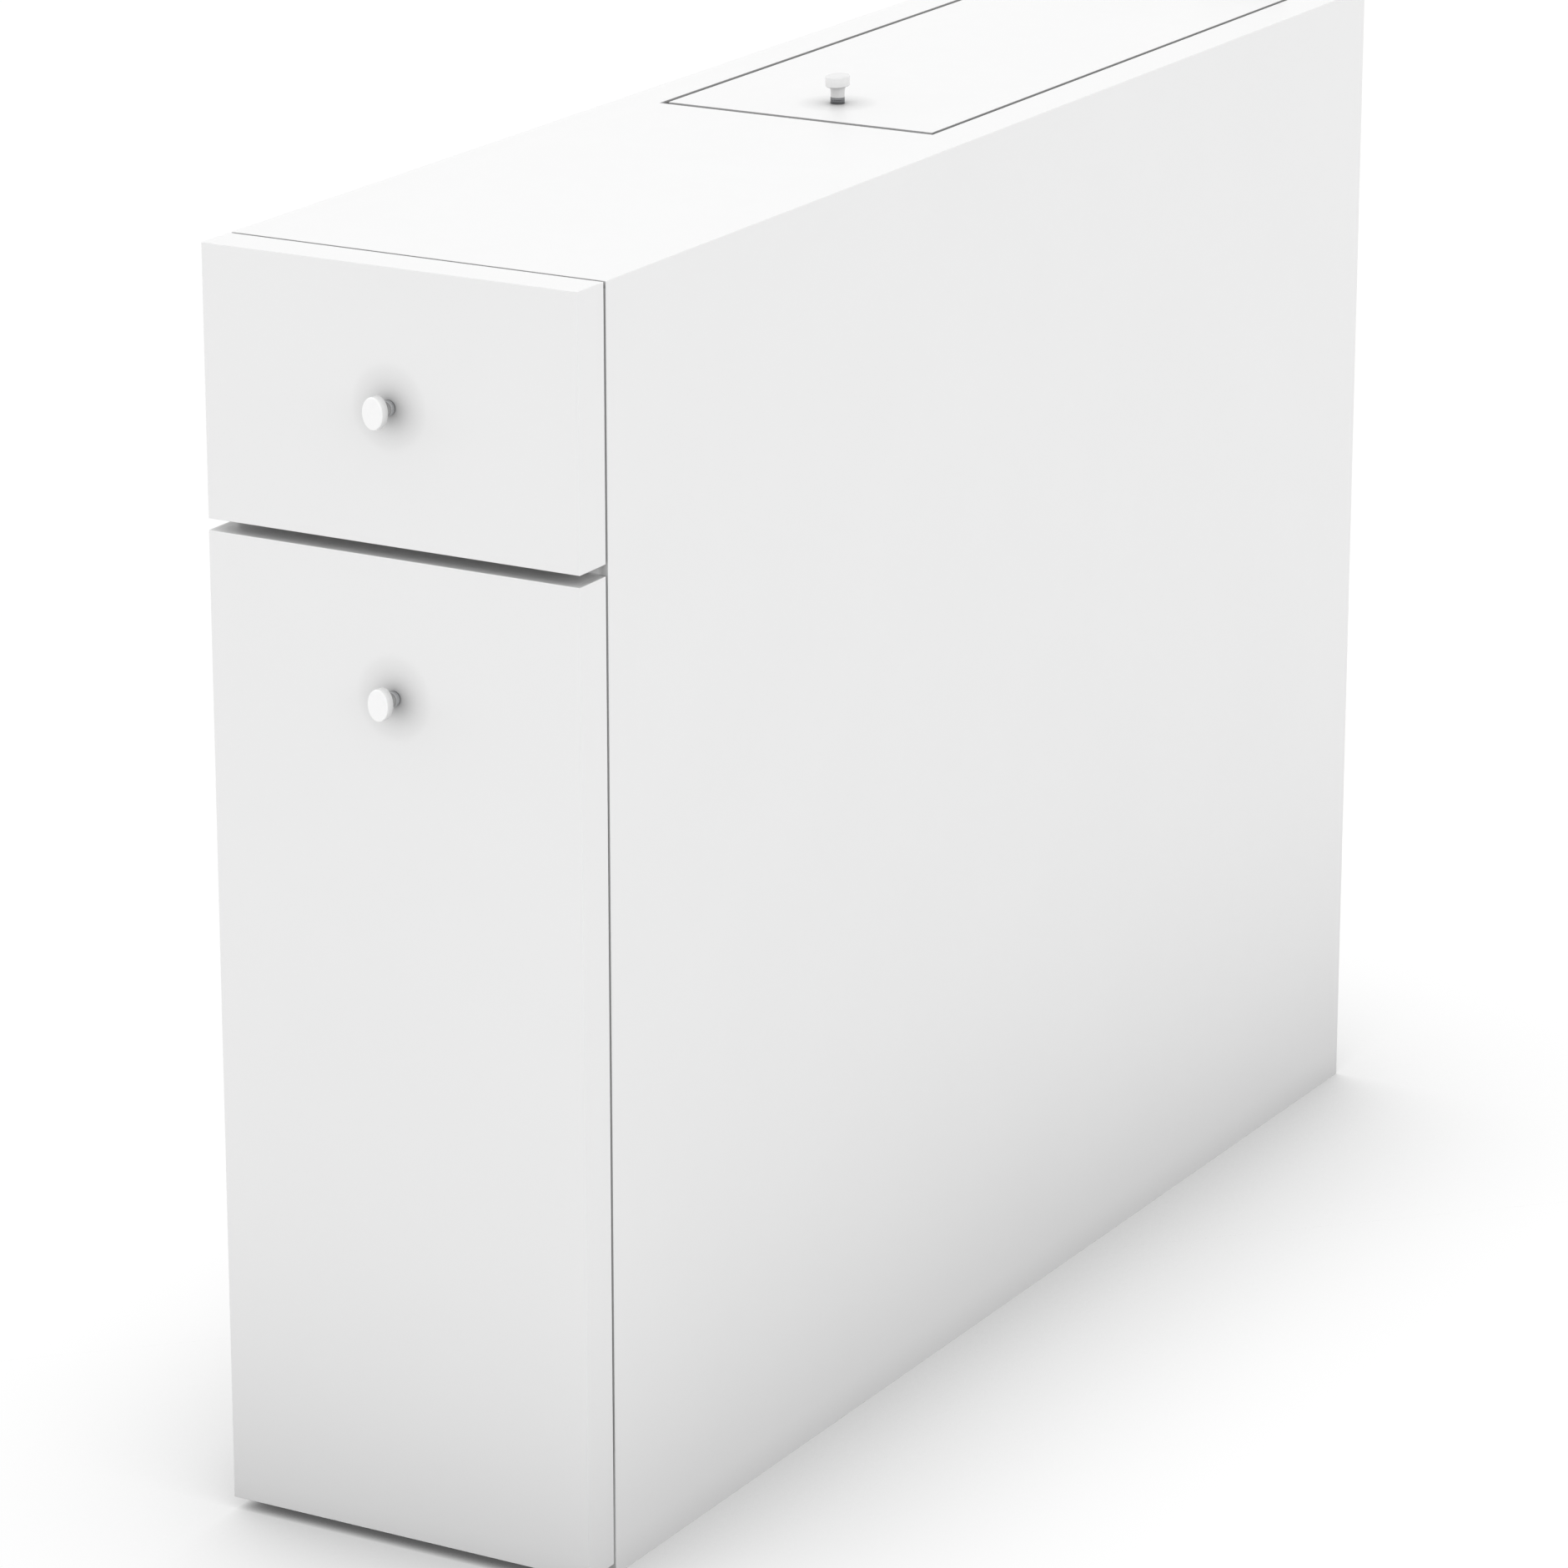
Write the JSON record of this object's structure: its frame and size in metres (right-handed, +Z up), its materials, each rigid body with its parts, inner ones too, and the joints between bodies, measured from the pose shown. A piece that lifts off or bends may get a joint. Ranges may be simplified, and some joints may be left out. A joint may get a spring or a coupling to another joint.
{
  "type": "bathroom cabinet",
  "caption": "Slim free-standing bathroom cabinet: small drawer over a tall pull-out at the front, deep rear well under a hinged lid, small oval knobs.",
  "frame": {"origin": "on the floor, at the middle of the bounding box in X and Y, knobs included", "axes": "+Z up, fronts face -Y, the lid's hinges are at the +Y end, +X is the right side seen from the front"},
  "size_m": [0.16, 0.6686, 0.5112],
  "materials": {
    "white_board": "melamine-faced chipboard, satin white, with thin white edge banding",
    "box_board": "melamine-faced chipboard for the boxes, matt white",
    "hardboard": "white-lacquered hardboard, brown at its edges and rear face",
    "zinc_steel": "bright zinc plating",
    "nickel_steel": "nickel-plated steel",
    "chrome_steel": "chromed steel rod",
    "coated_steel": "white epoxy-coated steel sheet",
    "nylon": "natural nylon",
    "beech": "fluted beech, unfinished",
    "knob_white": "gloss white lacquer",
    "dark_metal": "dark nickel",
    "buffer_rubber": "clear soft dots"
  },
  "bodies": {
    "carcass": {"left_side_panel": "white_board", "right_side_panel": "white_board", "bottom_panel": "white_board", "top_panel": "white_board", "bay_shelf": "white_board", "divider_panel": "white_board", "rear_rail": "white_board", "back_panel": "hardboard", "back_panel_nails": "zinc_steel", "carcass_dowels": "beech", "carcass_cam_locks": "zinc_steel", "carcass_cam_bolts": "zinc_steel", "drawer_track_left": "coated_steel", "drawer_track_right": "coated_steel", "pullout_track_left": "coated_steel", "pullout_track_right": "coated_steel", "track_and_hinge_screws": "zinc_steel", "rail_hinge_leaves": "nickel_steel", "hinge_pins": "nickel_steel", "lid_buffers": "buffer_rubber"},
    "drawer": {"drawer_front": "white_board", "drawer_side_left": "box_board", "drawer_side_right": "box_board", "drawer_back": "box_board", "drawer_bottom": "hardboard", "drawer_slide_left": "coated_steel", "drawer_slide_right": "coated_steel", "drawer_slide_screws": "zinc_steel", "drawer_cam_locks": "zinc_steel", "drawer_cam_bolts": "zinc_steel", "drawer_box_screws": "zinc_steel", "drawer_knob": "knob_white", "drawer_knob_collar": "dark_metal", "drawer_knob_screw": "zinc_steel"},
    "pullout": {"pullout_front": "white_board", "pullout_side_left": "box_board", "pullout_side_right": "box_board", "pullout_back": "box_board", "pullout_base": "box_board", "pullout_shelf": "box_board", "pullout_guard_rods": "chrome_steel", "pullout_slide_left": "coated_steel", "pullout_slide_right": "coated_steel", "pullout_slide_screws": "zinc_steel", "pullout_cam_locks": "zinc_steel", "pullout_cam_bolts": "zinc_steel", "pullout_box_screws": "zinc_steel", "pullout_knob": "knob_white", "pullout_knob_collar": "dark_metal", "pullout_knob_screw": "zinc_steel"},
    "lid": {"lid_panel": "white_board", "lid_hinge_leaves": "nickel_steel", "lid_hinge_screws": "zinc_steel", "lid_knob": "knob_white", "lid_knob_collar": "dark_metal", "lid_knob_screw": "zinc_steel"},
    "drawer_track_rollers": {"drawer_track_rollers": "nylon"},
    "drawer_slide_rollers": {"drawer_slide_rollers": "nylon"},
    "pullout_track_rollers": {"pullout_track_rollers": "nylon"},
    "pullout_slide_rollers": {"pullout_slide_rollers": "nylon"}
  },
  "joints": [
    {"name": "drawer_travel", "type": "slide", "parent": "carcass", "child": "drawer", "axis": [0, -1, 0], "range_m": [0, 0.185]},
    {"name": "pullout_travel", "type": "slide", "parent": "carcass", "child": "pullout", "axis": [0, -1, 0], "range_m": [0, 0.185]},
    {"name": "lid_swing", "type": "hinge", "parent": "carcass", "child": "lid", "pos_m": [0, 0.311, 0.5028], "axis": [-1, 0, 0], "range_deg": [0, 95]},
    {"name": "drawer_track_roller_spin", "type": "hinge", "parent": "carcass", "child": "drawer_track_rollers", "pos_m": [0, -0.29165, 0.41855], "axis": [1, 0, 0], "continuous": true},
    {"name": "drawer_slide_roller_spin", "type": "hinge", "parent": "drawer", "child": "drawer_slide_rollers", "pos_m": [0, -0.06515, 0.41655], "axis": [1, 0, 0], "continuous": true},
    {"name": "pullout_track_roller_spin", "type": "hinge", "parent": "carcass", "child": "pullout_track_rollers", "pos_m": [0, -0.29165, 0.0488], "axis": [1, 0, 0], "continuous": true},
    {"name": "pullout_slide_roller_spin", "type": "hinge", "parent": "pullout", "child": "pullout_slide_rollers", "pos_m": [0, -0.06515, 0.0468], "axis": [1, 0, 0], "continuous": true}
  ],
  "couplings": [
    {"joint": "drawer_track_roller_spin", "follows": "drawer_travel", "rad_per_m": 133.33},
    {"joint": "drawer_slide_roller_spin", "follows": "drawer_travel", "rad_per_m": 133.33},
    {"joint": "pullout_track_roller_spin", "follows": "pullout_travel", "rad_per_m": 133.33},
    {"joint": "pullout_slide_roller_spin", "follows": "pullout_travel", "rad_per_m": 133.33}
  ]
}
